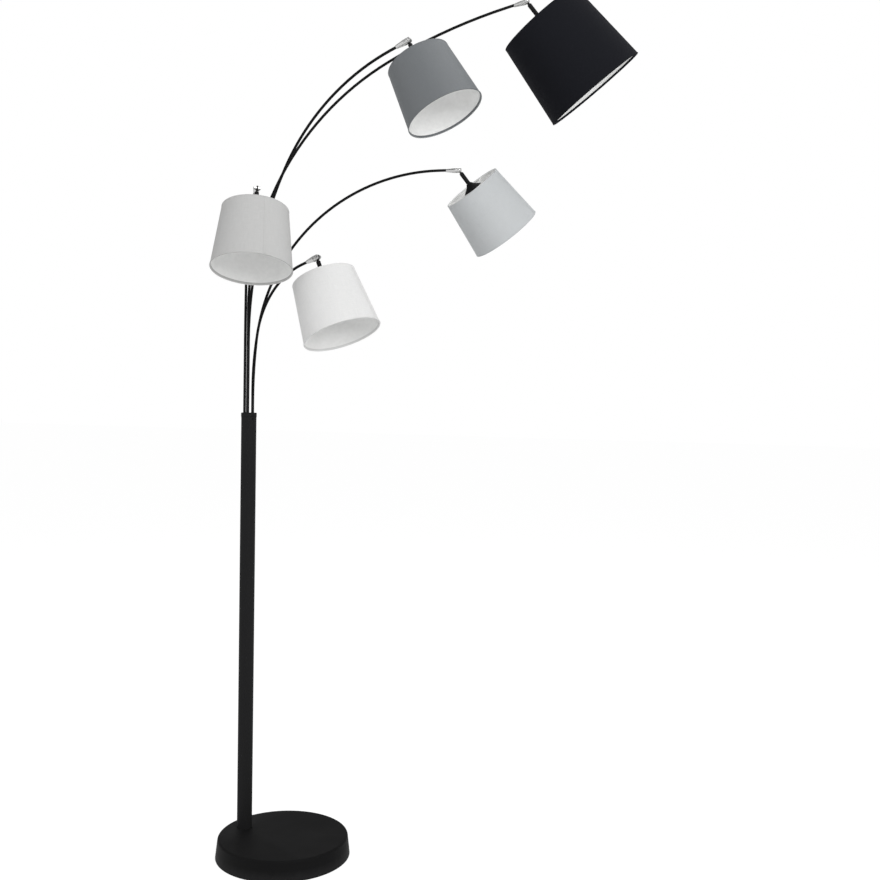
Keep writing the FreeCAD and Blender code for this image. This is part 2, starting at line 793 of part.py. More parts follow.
def stem(arm):
    """The black tube between the tongue and the holder cup."""
    body = turned(f"{arm}_stem", [
        (SHANK_BORE, "stem_start"),
        ("stem_radius - stem_chamfer", "stem_start"),
        ("stem_radius", "stem_start + stem_chamfer"),
        ("stem_radius", "stem_end"),
        (STEM_SPIGOT_RADIUS, "stem_end"),
        (STEM_SPIGOT_RADIUS, "stem_end + stem_spigot_length"),
        ("stem_hollow_radius", "stem_end + stem_spigot_length"),
        ("stem_hollow_radius", "tongue_length"),
        (SHANK_BORE, "tongue_length"),
    ])
    body.Placement = head_frame(arm)
    return body


def holder_cup(arm):
    """The trumpet-shaped cup that hides the holder's top, on the stem's spigot."""
    bore = f"{STEM_SPIGOT_RADIUS} + thread_gap"
    shoulder = "stem_end + cup_shoulder_drop"
    inner_shoulder = ("cup_shoulder_radius - cup_wall", f"{shoulder} + cup_wall")
    body = turned(f"{arm}_holder_cup", [
        (bore, "stem_end"),
        ("cup_neck_radius", "stem_end"),
        ("cup_shoulder_radius", shoulder),
        (CUP_RIM_RADIUS, SEAT),
        (f"{CUP_RIM_RADIUS} - cup_lip", SEAT),
        inner_shoulder,
        ("cup_neck_radius - cup_wall", "stem_end + cup_top_thickness"),
        (bore, "stem_end + cup_top_thickness"),
    ])
    dress_edges(body, "Fillet", f"{arm}_cup_flare",
                [("cup_shoulder_radius", shoulder), inner_shoulder], "cup_flare_round")
    body.Placement = head_frame(arm)
    return body


def lamp_holder(arm):
    """The small screw lamp holder: neck, clamping flange and open mouth."""
    top = "stem_end + stem_spigot_length"
    flange = "holder_radius + holder_flange_lip"
    mouth = f"{SEAT} + holder_length"
    body = turned(f"{arm}_lamp_holder", [
        ("0", top),
        ("holder_top_radius", top),
        ("holder_radius", f"{SEAT} - holder_flange_thickness - holder_top_drop"),
        (flange, f"{SEAT} - holder_flange_thickness"),
        (flange, SEAT),
        ("holder_radius", SEAT),
        ("holder_radius", mouth),
        ("lamp_bore_radius", mouth),
        ("lamp_bore_radius", f"{mouth} - lamp_bore_depth"),
        ("0", f"{mouth} - lamp_bore_depth"),
    ])
    body.Placement = head_frame(arm)
    return body


def holder_nut(arm):
    """The ring nut that clamps the shade frame against the flange."""
    bore = "holder_radius + thread_gap"
    top = f"{SEAT} + frame_ring_thickness"
    body = turned(f"{arm}_holder_nut", [
        (bore, top),
        ("holder_radius + nut_ring_width", top),
        ("holder_radius + nut_ring_width", f"{top} + nut_ring_height"),
        (bore, f"{top} + nut_ring_height"),
    ])
    body.Placement = head_frame(arm)
    return body


def inner_wall(arm, height):
    """The radius of the shade's bare inner wall at a height, as an expression."""
    slope = f"({arm}_shade_bottom - {arm}_shade_top) / {arm}_shade_height"
    return f"({arm}_shade_top - shade_wall + {slope} * ({height} - shade_start))"


def shade_frame(arm):
    """A flat centre ring, and three wire spokes up to the shade's upper wire ring."""
    thickness = size("frame_ring_thickness")
    wire = size("wire_radius")
    seat = value_of(SEAT)
    rim = value_of(CUP_RIM_RADIUS)
    bore = size("holder_radius") + size("thread_gap")
    top = value_of("shade_start + wire_ring_drop")
    reach = value_of(f"{inner_wall(arm, top)} - frame_side_gap - wire_radius")
    parts = [Part.makeTorus(reach, wire, FreeCAD.Vector(0, 0, top))]
    for number in range(SPOKE_COUNT):
        angle = math.radians(360 / SPOKE_COUNT * number)
        way = FreeCAD.Vector(math.cos(angle), math.sin(angle), 0)
        start = way * (rim - 2 * wire)
        start.z = seat + thickness + wire / 2
        end = way * reach
        end.z = top
        spoke = end - start
        parts.append(Part.makeCylinder(wire, spoke.Length, start, spoke))
    ring = Part.makeCylinder(rim, thickness, FreeCAD.Vector(0, 0, seat))
    ring = ring.multiFuse(parts).removeSplitter()
    ring = ring.cut(Part.makeCylinder(bore, 4 * thickness,
                                      FreeCAD.Vector(0, 0, seat - thickness)))
    feature = doc.addObject("Part::Feature", f"{arm}_shade_frame")
    feature.Shape = ring
    feature.Placement = head_frame(arm)
    return feature


def shade(arm):
    """The tapered drum, open at both ends, with a hem turned in at its mouth."""
    end = f"shade_start + {arm}_shade_height"
    hem = f"{end} - hem_width"
    body = turned(f"{arm}_shade", [
        (inner_wall(arm, "shade_start"), "shade_start"),
        (f"{arm}_shade_top", "shade_start"),
        (f"{arm}_shade_bottom", end),
        (f"{inner_wall(arm, end)} - hem_thickness", end),
        (f"{inner_wall(arm, hem)} - hem_thickness", hem),
        (inner_wall(arm, hem), hem),
    ])
    body.Placement = head_frame(arm)
    return body


# ------------------------------------------------------------- build and save

pieces = [
    base_cover(), base_weight(), base_pad(), pole_stud(), base_fasteners(),
    cable_gland(), pole_tube(), foot_plug(), pole_hub(), hub_screws(),
]
for arm in ARMS:
    for make in (arm_tube, joint_sleeve, joint_screw, joint_tongue, stem, holder_cup,
                 lamp_holder, holder_nut, shade_frame, shade):
        pieces.append(make(arm))
doc.recompute()

for item in doc.Objects:
    if "Invalid" in item.State or "Error" in item.State:
        raise RuntimeError(f"{item.Label} failed: {item.State}")
for piece in pieces:
    if piece.Shape.isNull() or not piece.Shape.isValid() or not piece.Shape.Solids:
        raise RuntimeError(f"{piece.Label} has no valid solid")
for piece in pieces:
    piece.Shape.exportStep(f"parts/{piece.Label}.step")
print(len(pieces), "nodes written")
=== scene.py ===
import json
import math

import bpy
from mathutils import Matrix, Vector


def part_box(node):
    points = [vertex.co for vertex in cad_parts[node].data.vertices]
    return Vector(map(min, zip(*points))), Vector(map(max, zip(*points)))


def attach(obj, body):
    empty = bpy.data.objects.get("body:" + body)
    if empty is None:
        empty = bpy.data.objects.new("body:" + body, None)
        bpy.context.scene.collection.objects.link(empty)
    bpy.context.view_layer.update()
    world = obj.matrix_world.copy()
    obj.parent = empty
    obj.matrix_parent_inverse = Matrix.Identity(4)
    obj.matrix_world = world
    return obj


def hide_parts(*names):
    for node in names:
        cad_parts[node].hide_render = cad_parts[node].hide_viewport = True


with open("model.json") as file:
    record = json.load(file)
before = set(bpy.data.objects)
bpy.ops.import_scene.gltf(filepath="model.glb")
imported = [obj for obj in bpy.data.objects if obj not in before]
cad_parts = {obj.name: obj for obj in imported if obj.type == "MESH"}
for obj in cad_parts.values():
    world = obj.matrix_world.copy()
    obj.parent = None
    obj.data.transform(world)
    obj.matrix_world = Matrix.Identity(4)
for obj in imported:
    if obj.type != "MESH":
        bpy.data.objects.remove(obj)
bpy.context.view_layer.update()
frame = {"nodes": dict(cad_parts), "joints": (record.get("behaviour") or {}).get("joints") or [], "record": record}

# A tree floor lamp: black powder coated base, pole and arms, satin chrome
# swivel joints, and five fabric drum shades with a white lining.
# Everything is in metres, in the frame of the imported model.

MM = 0.001
FULL_TURN = 2 * math.pi
ARMS = ("black", "dark_grey", "left_grey", "right_grey", "white")

# linear colours of the finishes
FABRIC = {
    "black": (0.0075, 0.0080, 0.0108),
    "dark_grey": (0.128, 0.138, 0.146),
    "left_grey": (0.468, 0.468, 0.464),
    "right_grey": (0.490, 0.506, 0.515),
    "white": (0.690, 0.690, 0.687),
}
FABRIC_GLOSS = {
    "black": 0.0,
    "dark_grey": 0.8,
    "left_grey": 0.2,
    "right_grey": 0.2,
    "white": 0.2,
}
COAT_BLACK = (0.0060, 0.0060, 0.0062)
LINING_WHITE = (0.835, 0.837, 0.830)
ENAMEL_WHITE = (0.700, 0.700, 0.690)
CHROME = (0.550, 0.550, 0.546)
BRASS = (0.640, 0.470, 0.210)
ZINC = (0.520, 0.530, 0.540)
CONCRETE = (0.420, 0.410, 0.390)
RUBBER = (0.020, 0.020, 0.021)
PLASTIC_WHITE = (0.720, 0.720, 0.700)
PLASTIC_BLACK = (0.018, 0.018, 0.019)

# patterns of the finishes, as noise scales, with the depth of their relief
COAT_GRAIN = 1400
COAT_CLOUD = 9
COAT_RELIEF = 0.03 * MM
COAT_ROUGHNESS = (0.56, 0.64)
COAT_SPECULAR = 0.05
WORN_EDGE = (0.515, 0.56)            # pointiness, from flat to a sharp edge
WORN_FACTOR = 2.1
PLATING_SMUDGE = 240
PLATING_LINES = 900
PLATING_RELIEF = 0.002 * MM
CONCRETE_GRAIN = 260
CONCRETE_RELIEF = 0.25 * MM
ZINC_GRAIN = 900
ZINC_RELIEF = 0.02 * MM
MOULDED_GRAIN = 700
RUBBER_GRAIN = 300
MOULDED_CLOUD = 40
MOULDED_RELIEF = 0.02 * MM
LINING_MOTTLE = 130
LINING_FIBRE = 1500
LINING_ROUGHNESS = (0.50, 0.60)
LINING_RELIEF = 0.02 * MM

# weave of the shade fabric, with shade painted into the gaps between threads
THREAD_PITCH = 0.55 * MM
THREAD_WANDER = 0.6
THREAD_RELIEF = 0.06 * MM
THREAD_SHADOW = (0.35, 0.9)          # weave heights, from a gap to a thread's crown
PAINTED_GAP_SHADE = 0.92
SLUB_FINE = 900
SLUB_LONG = 45
SLUB_TONE = 0.05
SLUB_RELIEF = 0.03 * MM
SHEEN = 0.05
SHEEN_FACTOR = 1.4

# shade make-up
SHADE_SIDES = 144
SHADE_ROWS = 10
WALL = 1.2 * MM
RIM_REACH = 0.5 * MM                 # how far from a rim its radius is read
HEM_RADIUS = 1.15 * MM
HEM_SIDES = 14
HEM_WIDTH = 5.0 * MM
HEM_CLOTH = 0.5 * MM
HEM_ROWS = 2
SEAM_WIDTH = 7.0 * MM
SEAM_RISE = 0.35 * MM
SEAM_CLEARANCE = 0.2 * SEAM_RISE
SEAM_SIDES = 4 * SHADE_SIDES
SEAM_ROWS = 4
SEAM_TURN = {                        # degrees round the shade
    "black": 150.0,
    "dark_grey": 160.0,
    "left_grey": 170.0,
    "right_grey": 200.0,
    "white": 165.0,
}
CLOTH_EDGE_SHARE = 0.4               # of the cloth's thickness

# heads of the joint screws
SCREW_SIDES = 36
HEAD_RADIUS = 2.9 * MM
HEAD_HEIGHT = 1.1 * MM
HEAD_LIFT = 0.45 * MM                # of the head's middle over the pin's end
HEAD_STEPS = (                       # inset and rise: crown, flat and socket
    (0.55 * MM, 0.35 * MM),
    (0.75 * MM, 0.15 * MM),
    (0.25 * MM, -0.9 * MM),
)
HEAD_EDGE = 0.12 * MM

# brass in the lamp holders
HOLDER_PITCH = 2.8 * MM
HOLDER_TURNS = 6
HOLDER_STEPS = 28
HOLDER_RIDGE_SIDES = 10
HOLDER_RIDGE = 0.55 * MM
HOLDER_INSET = 0.62 * MM
HOLDER_START = 1.5 * MM
CONTACT_SIDES = 32
CONTACT_RADIUS = 2.6 * MM
CONTACT_PLATE = 1.0 * MM
CONTACT_SHOULDER = 0.7 * MM
CONTACT_STALK = 1.4 * MM
CONTACT_TIP = 0.5 * MM
CONTACT_EDGE = 0.2 * MM

# grub screws in the hub
GRUB_SOCKET_SHARE = 0.45             # of the radius, left as rim
GRUB_SOCKET_DEPTH = 1.4 * MM
GRUB_EDGE = 0.2 * MM
GRUB_SPREAD = 0.5                    # radians: corners nearer than this are one screw's

# smoothing and bevels, in degrees
SOFT_ANGLE = 35
ROUND_ANGLE = 60
BEVEL_ANGLE = 40
SEAM_BEVEL_ANGLE = 30
FACING_UP = 0.9                      # least upward part of a top face's normal


# ------------------------------------------------------------------ materials

def new_material(name):
    """A new material, with the nodes and links of its tree."""
    material = bpy.data.materials.new(name)
    material.use_nodes = True
    return material, material.node_tree.nodes, material.node_tree.links


def shader_of(nodes):
    return nodes["Principled BSDF"]


def object_coordinates(nodes):
    return nodes.new("ShaderNodeTexCoord").outputs["Object"]


def stretched(nodes, links, source, scale):
    mapping = nodes.new("ShaderNodeMapping")
    mapping.inputs["Scale"].default_value = scale
    links.new(source, mapping.inputs["Vector"])
    return mapping.outputs["Vector"]


def noise(nodes, links, source, scale, detail, roughness=0.55):
    texture = nodes.new("ShaderNodeTexNoise")
    texture.inputs["Scale"].default_value = scale
    texture.inputs["Detail"].default_value = detail
    texture.inputs["Roughness"].default_value = roughness
    links.new(source, texture.inputs["Vector"])
    return texture.outputs["Fac"]


def ramp(nodes, links, source, low, high, start=0.3, end=0.7):
    """Maps a grey value from the span start to end, to the span low to high."""
    span = nodes.new("ShaderNodeMapRange")
    span.inputs["From Min"].default_value = start
    span.inputs["From Max"].default_value = end
    span.inputs["To Min"].default_value = low
    span.inputs["To Max"].default_value = high
    links.new(source, span.inputs["Value"])
    return span.outputs["Result"]


def joined(nodes, links, operation, first, second):
    """One grey value worked out from two."""
    both = nodes.new("ShaderNodeMath")
    both.operation = operation
    links.new(first, both.inputs[0])
    links.new(second, both.inputs[1])
    return both.outputs[0]


def shades_of(nodes, links, source, dark, light):
    """A colour between two, by a grey value."""
    mix = nodes.new("ShaderNodeMix")
    mix.data_type = "RGBA"
    mix.inputs["A"].default_value = (*dark, 1)
    mix.inputs["B"].default_value = (*light, 1)
    links.new(source, mix.inputs["Factor"])
    return mix.outputs["Result"]


def clouded(nodes, links, pattern, colour, dark, light):
    """The colour, darker and lighter by two factors along a pattern."""
    return shades_of(nodes, links, ramp(nodes, links, pattern, 0.0, 1.0),
                     times(colour, dark), times(colour, light))


def bump(nodes, links, height, depth, normal=None):
    """Adds surface relief of the given depth in metres."""
    relief = nodes.new("ShaderNodeBump")
    relief.inputs["Distance"].default_value = depth
    links.new(height, relief.inputs["Height"])
    if normal is not None:
        links.new(normal, relief.inputs["Normal"])
    return relief.outputs["Normal"]


def times(colour, factor):
    return tuple(min(channel * factor, 1.0) for channel in colour)


def powder_coat(name, colour):
    """Fine structured matt black powder coat, a little paler on worn edges."""
    material, nodes, links = new_material(name)
    shader = shader_of(nodes)
    place = object_coordinates(nodes)
    grain = noise(nodes, links, place, COAT_GRAIN, 3.0, 0.6)
    cloud = noise(nodes, links, place, COAT_CLOUD, 2.0)
    edge = nodes.new("ShaderNodeNewGeometry").outputs["Pointiness"]
    worn = ramp(nodes, links, edge, 0.0, 1.0, *WORN_EDGE)
    links.new(shades_of(nodes, links, worn, colour, times(colour, WORN_FACTOR)),
              shader.inputs["Base Color"])
    links.new(ramp(nodes, links, cloud, *COAT_ROUGHNESS), shader.inputs["Roughness"])
    links.new(bump(nodes, links, grain, COAT_RELIEF), shader.inputs["Normal"])
    shader.inputs["Specular IOR Level"].default_value = COAT_SPECULAR
    return material


def satin_plating(name, colour, roughness):
    """Plated metal with faint turning lines and finger marks."""
    material, nodes, links = new_material(name)
    shader = shader_of(nodes)
    place = object_coordinates(nodes)
    smudge = noise(nodes, links, place, PLATING_SMUDGE, 3.0)
    lines = noise(nodes, links, place, PLATING_LINES, 2.0)
    links.new(clouded(nodes, links, smudge, colour, 0.92, 1.06), shader.inputs["Base Color"])
    links.new(ramp(nodes, links, smudge, roughness * 0.8, roughness * 1.25),
              shader.inputs["Roughness"])
    links.new(bump(nodes, links, lines, PLATING_RELIEF), shader.inputs["Normal"])
    shader.inputs["Metallic"].default_value = 1.0
    return material


def grained(name, colour, metallic, roughness, grain_scale, grain_depth):
    """Poured concrete, or zinc plated steel, by its grain and roughness."""
    material, nodes, links = new_material(name)
    shader = shader_of(nodes)
    place = object_coordinates(nodes)
    grain = noise(nodes, links, place, grain_scale, 5.0, 0.65)
    links.new(clouded(nodes, links, grain, colour, 0.75, 1.2), shader.inputs["Base Color"])
    links.new(ramp(nodes, links, grain, roughness * 0.85, roughness * 1.15),
              shader.inputs["Roughness"])
    links.new(bump(nodes, links, grain, grain_depth), shader.inputs["Normal"])
    shader.inputs["Metallic"].default_value = metallic
    return material


def moulded(name, colour, roughness, grain_scale=MOULDED_GRAIN):
    """Moulded plastic, rubber or enamel: an even skin with a faint grain."""
    material, nodes, links = new_material(name)
    shader = shader_of(nodes)
    place = object_coordinates(nodes)
    grain = noise(nodes, links, place, grain_scale, 2.0)
    cloud = noise(nodes, links, place, MOULDED_CLOUD, 2.0)
    links.new(clouded(nodes, links, cloud, colour, 0.94, 1.04), shader.inputs["Base Color"])
    links.new(ramp(nodes, links, grain, roughness * 0.9, roughness * 1.1),
              shader.inputs["Roughness"])
    links.new(bump(nodes, links, grain, MOULDED_RELIEF), shader.inputs["Normal"])
    return material


def thread_ridges(nodes, links, source, direction):
    """Parallel threads across one direction of the piece's own UV map."""
    wave = nodes.new("ShaderNodeTexWave")
    wave.wave_type = "BANDS"
    wave.bands_direction = direction
    wave.inputs["Scale"].default_value = math.pi / (10 * THREAD_PITCH)
    wave.inputs["Distortion"].default_value = THREAD_WANDER
    wave.inputs["Detail"].default_value = 1.0
    wave.inputs["Detail Scale"].default_value = 2.0
    links.new(source, wave.inputs["Vector"])
    return wave.outputs["Fac"]


def slubs_along(nodes, links, cloth, scale):
    """Thicker stretches of thread, drawn out along one direction."""
    return noise(nodes, links, stretched(nodes, links, cloth, scale), 1.0, 3.0)


def shade_fabric(name, colour, gloss):
    """Plain woven shade fabric: warp and weft ridges, slubs, painted shade in the thread gaps and soft sheen."""
    material, nodes, links = new_material(name)
    shader = shader_of(nodes)
    uv = nodes.new("ShaderNodeUVMap")
    uv.uv_map = "weave"
    cloth = uv.outputs["UV"]
    weave = joined(nodes, links, "MAXIMUM", thread_ridges(nodes, links, cloth, "X"),
                   thread_ridges(nodes, links, cloth, "Y"))
    slubs = joined(nodes, links, "ADD",
                   slubs_along(nodes, links, cloth, (SLUB_FINE, SLUB_LONG, 1)),
                   slubs_along(nodes, links, cloth, (SLUB_LONG, SLUB_FINE, 1)))
    tone = shades_of(nodes, links, ramp(nodes, links, slubs, 0.0, 1.0, 0.75, 1.25),
                     times(colour, 1 - SLUB_TONE), times(colour, 1 + SLUB_TONE * 0.6))
    # painted shade: the colour is darkened in the gaps between threads, by the weave's height
    shadow = nodes.new("ShaderNodeMix")
    shadow.data_type = "RGBA"
    shadow.blend_type = "MULTIPLY"
    shadow.inputs["Factor"].default_value = 1.0
    links.new(tone, shadow.inputs["A"])
    links.new(ramp(nodes, links, weave, PAINTED_GAP_SHADE, 1.0, *THREAD_SHADOW), shadow.inputs["B"])
    links.new(shadow.outputs["Result"], shader.inputs["Base Color"])
    relief = bump(nodes, links, weave, THREAD_RELIEF)
    links.new(bump(nodes, links, slubs, SLUB_RELIEF, relief), shader.inputs["Normal"])
    shader.inputs["Roughness"].default_value = 0.9 - 0.4 * gloss
    shader.inputs["Specular IOR Level"].default_value = 0.1 + 0.5 * gloss
    shader.inputs["Sheen Weight"].default_value = SHEEN
    shader.inputs["Sheen Tint"].default_value = (*times(colour, SHEEN_FACTOR), 1)
    shader.inputs["Sheen Roughness"].default_value = 0.5
    return material


def shade_lining(name, colour):
    """The stiff white film inside a shade, faintly mottled and satin."""
    material, nodes, links = new_material(name)
    shader = shader_of(nodes)
    place = object_coordinates(nodes)
    mottle = noise(nodes, links, place, LINING_MOTTLE, 4.0)
    fibre = noise(nodes, links, place, LINING_FIBRE, 2.0)
    links.new(clouded(nodes, links, mottle, colour, 0.96, 1.03), shader.inputs["Base Color"])
    links.new(ramp(nodes, links, mottle, *LINING_ROUGHNESS), shader.inputs["Roughness"])
    links.new(bump(nodes, links, fibre, LINING_RELIEF), shader.inputs["Normal"])
    return material


# -------------------------------------------------------------- places to build

joints = {joint["name"]: joint for joint in frame["joints"]}
mounts = {mount["name"]: mount for mount in frame["record"]["mounts"]}
slots = {part["node"]: part["material_slot"] for part in frame["record"]["subparts"]}


def frame_from(origin, z_axis, y_axis):
    """A placement with the given origin, Z axis and nearest Y axis."""
    z = Vector(z_axis).normalized()
    x = Vector(y_axis).cross(z).normalized()
    y = z.cross(x)
    place = Matrix((x, y, z)).transposed().to_4x4()
    place.translation = Vector(origin)
    return place


def head_place(arm):
    """The tilt pin as origin, Z down the shade's axis and Y along the pin."""
    tilt = joints[f"{arm}_head_tilt"]
    return frame_from(tilt["pos_m"], mounts[f"e14_{arm}"]["axis"], tilt["axis"])


def screw_place(arm):
    """The tilt pin's middle, with Z along the pin."""
    tilt = joints[f"{arm}_head_tilt"]
    return frame_from(tilt["pos_m"], tilt["axis"], joints[f"{arm}_head_turn"]["axis"])


def socket_place(arm):
    """The middle of the lamp holder's bore, with Z out of its mouth."""
    mount = mounts[f"e14_{arm}"]
    return frame_from(mount["pos_m"], mount["axis"], joints[f"{arm}_head_tilt"]["axis"])


def socket_size(arm):
    """Radius and length of the lamp holder's bore."""
    dims = mounts[f"e14_{arm}"]["dims"]
    return dims["r_mm"] * MM, dims["length_mm"] * MM


def outline_in(place, node):
    """(distance along Z, distance from Z) of each corner of a CAD node."""
    back = place.inverted()
    corners = [back @ vertex.co for vertex in frame["nodes"][node].data.vertices]
    return [(corner.z, math.hypot(corner.x, corner.y)) for corner in corners]


def drum_sizes(arm):
    """Start, end, top radius and bottom radius of an arm's shade."""
    outline = outline_in(head_place(arm), f"{arm}_shade")
    start = min(along for along, _ in outline)
    end = max(along for along, _ in outline)
    top = max(out for along, out in outline if along < start + RIM_REACH)
    bottom = max(out for along, out in outline if along > end - RIM_REACH)
    return start, end, top, bottom


# -------------------------------------------------------- modelling by operator

def select_only(piece):
    bpy.ops.object.select_all(action="DESELECT")
    piece.select_set(True)
    bpy.context.view_layer.objects.active = piece


def named(name):
    """The primitive that was added last, under its own name, its place in its mesh."""
    piece = bpy.context.active_object
    piece.name = name
    piece.data.name = name
    bpy.ops.object.transform_apply(location=True, rotation=True, scale=True)
    return piece


def edit(piece, select="DESELECT"):
    select_only(piece)
    bpy.ops.object.mode_set(mode="EDIT")
    bpy.ops.mesh.select_all(action=select)


def done():
    bpy.ops.object.mode_set(mode="OBJECT")


def face_outwards(piece):
    edit(piece, "SELECT")
    bpy.ops.mesh.normals_make_consistent(inside=False)
    done()


def choose(piece, kind, test):
    """Selects the faces or edges that pass a test, for the next operator."""
    bpy.ops.object.mode_set(mode="OBJECT")
    mesh = piece.data
    for part in (mesh.vertices, mesh.edges, mesh.polygons):
        part.foreach_set("select", [False] * len(part))
    if kind == "FACE":
        for face in mesh.polygons:
            face.select = test(face.center, face.normal)
    else:
        for line in mesh.edges:
            first, second = (mesh.vertices[i].co for i in line.vertices)
            line.select = test(first, second)
    bpy.ops.object.mode_set(mode="EDIT")
    bpy.ops.mesh.select_mode(type=kind)


def edit_top(piece):
    """Starts to shape a piece from its top face."""
    edit(piece)
    choose(piece, "FACE", lambda _centre, normal: normal.z > FACING_UP)


def inset_and_raise(inset, rise):
    bpy.ops.mesh.inset(thickness=inset)
    bpy.ops.transform.translate(value=(0, 0, rise))


def add_modifier(piece, kind, **settings):
    """Adds a modifier with its settings and applies it at once."""
    select_only(piece)
    modifier = piece.modifiers.new(kind.lower(), kind)
    for setting, value in settings.items():
        setattr(modifier, setting, value)
    bpy.ops.object.modifier_apply(modifier=modifier.name)


def ease_edges(piece, width, angle=BEVEL_ANGLE):
    add_modifier(piece, "BEVEL", width=width, segments=2, limit_method="ANGLE",
                 angle_limit=math.radians(angle))


def smooth(piece, angle=SOFT_ANGLE):
    select_only(piece)
    bpy.ops.object.shade_smooth_by_angle(angle=math.radians(angle))


def settle(piece, place, body, material=None):
    """Puts a finished piece in its place and dresses it.

    The piece rides on the body and, if a material is given, takes that material.
    """
    piece.data.transform(place @ piece.matrix_world)
    piece.matrix_world = Matrix.Identity(4)
    piece.data.update()
    if material is not None:
        piece.data.materials.clear()
        piece.data.materials.append(material)
    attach(piece, body)


# --------------------------------------------------------------------- shades

def open_cone(name, start, end, top, bottom, sides=SHADE_SIDES, rows=SHADE_ROWS):
    """A tapered drum with no ends, divided into rows along its height."""
    bpy.ops.mesh.primitive_cone_add(
        vertices=sides, radius1=top, radius2=bottom, depth=end - start,
        end_fill_type="NOTHING", location=(0, 0, (start + end) / 2))
    piece = named(name)
    edit(piece)
    choose(piece, "EDGE", lambda first, second: abs(first.z - second.z) > MM)
    bpy.ops.mesh.subdivide(number_cuts=rows)
    done()
    return piece


def lay_weave(piece):
    """A UV map in metres: round the drum and down its height."""
    mesh = piece.data
    weave = mesh.uv_layers.new(name="weave")
    mean_radius = sum(math.hypot(v.co.x, v.co.y) for v in mesh.vertices) / len(mesh.vertices)
    for face in mesh.polygons:
        middle = math.atan2(face.center.y, face.center.x)
        for loop in face.loop_indices:
            corner = mesh.vertices[mesh.loops[loop].vertex_index].co
            turn = math.atan2(corner.y, corner.x) - middle
            turn = (turn + math.pi) % FULL_TURN - math.pi
            weave.data[loop].uv = ((middle + turn) * mean_radius, corner.z)


def drum_shade(arm, fabric, film):
    """The drum: fabric outside, stiff white lining film inside, thin open rims."""
    piece = open_cone(f"{arm}_drum", *drum_sizes(arm))
    face_outwards(piece)
    piece.data.materials.append(fabric)
    piece.data.materials.append(film)
    add_modifier(piece, "SOLIDIFY", thickness=WALL, offset=-1.0, use_even_offset=True,
                 material_offset=1, material_offset_rim=0)
    lay_weave(piece)
    smooth(piece)
    settle(piece, head_place(arm), f"head_{arm}")
    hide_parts(f"{arm}_shade")


def rolled_hem(arm, end_name, fabric):
    """The fabric rolled over the wire ring at one rim of a shade."""
    start, end, top, bottom = drum_sizes(arm)
    along, radius = (start, top) if end_name == "upper" else (end, bottom)
    inward = 1 if end_name == "upper" else -1
    bpy.ops.mesh.primitive_torus_add(
        major_segments=SHADE_SIDES, minor_segments=HEM_SIDES,
        major_radius=radius - WALL / 2, minor_radius=HEM_RADIUS,
        location=(0, 0, along + inward * HEM_RADIUS))
    piece = named(f"{arm}_{end_name}_hem")
    lay_weave(piece)
    smooth(piece, ROUND_ANGLE)
    settle(piece, head_place(arm), f"head_{arm}", fabric)


def turned_hem(arm, fabric):
    """The narrow band of fabric turned in round the mouth and glued to the lining."""
    start, end, top, bottom = drum_sizes(arm)
    slope = (bottom - top) / (end - start)
    inside = bottom - WALL
    piece = open_cone(f"{arm}_turned_hem", end - HEM_WIDTH, end - HEM_RADIUS,
                      inside - slope * HEM_WIDTH, inside - slope * HEM_RADIUS, rows=HEM_ROWS)
    face_outwards(piece)
    add_modifier(piece, "SOLIDIFY", thickness=HEM_CLOTH, offset=-1.0, use_even_offset=True)
    ease_edges(piece, HEM_CLOTH * CLOTH_EDGE_SHARE)
    lay_weave(piece)
    smooth(piece)
    settle(piece, head_place(arm), f"head_{arm}", fabric)


def side_seam(arm, fabric):
    """The glued overlap where the shade's fabric meets itself."""
    start, end, top, bottom = drum_sizes(arm)
    clear = 2 * HEM_RADIUS
    slope = (bottom - top) / (end - start)
    piece = open_cone(f"{arm}_seam", start + clear, end - clear,
                      top + slope * clear + SEAM_CLEARANCE,
                      bottom - slope * clear + SEAM_CLEARANCE,
                      sides=SEAM_SIDES, rows=SEAM_ROWS)
    middle = math.radians(SEAM_TURN[arm])
    towards = Vector((math.cos(middle), math.sin(middle), 0))

    def outside_seam(centre, _normal):
        across = centre - towards * centre.dot(towards)
        return centre.dot(towards) < 0 or math.hypot(across.x, across.y) > SEAM_WIDTH / 2

    edit(piece)
    choose(piece, "FACE", outside_seam)
    bpy.ops.mesh.delete(type="FACE")
    done()
    face_outwards(piece)
    if piece.data.polygons[0].normal.dot(towards) < 0:
        piece.data.flip_normals()
    add_modifier(piece, "SOLIDIFY", thickness=SEAM_RISE, offset=1.0, use_even_offset=True)
    ease_edges(piece, SEAM_RISE * CLOTH_EDGE_SHARE, SEAM_BEVEL_ANGLE)
    lay_weave(piece)
    smooth(piece)
    settle(piece, head_place(arm), f"head_{arm}", fabric)


# ------------------------------------------------------ small metal pieces

def screw_head(arm, side, material):
    """A low crowned head with a round socket, on one side of the fork."""
    pin = outline_in(screw_place(arm), f"{arm}_joint_screw")
    pin_end = max(abs(along) for along, _ in pin)
    bpy.ops.mesh.primitive_cylinder_add(
        vertices=SCREW_SIDES, radius=HEAD_RADIUS, depth=HEAD_HEIGHT,
        location=(0, 0, pin_end + HEAD_LIFT))
    piece = named(f"{arm}_screw_head_{side}")
    edit_top(piece)
    for inset, rise in HEAD_STEPS:
        inset_and_raise(inset, rise)
    done()
    ease_edges(piece, HEAD_EDGE)
    smooth(piece)
    turn = Matrix.Rotation(math.pi if side == "back" else 0.0, 4, "X")
    settle(piece, screw_place(arm) @ turn, f"swivel_{arm}", material)


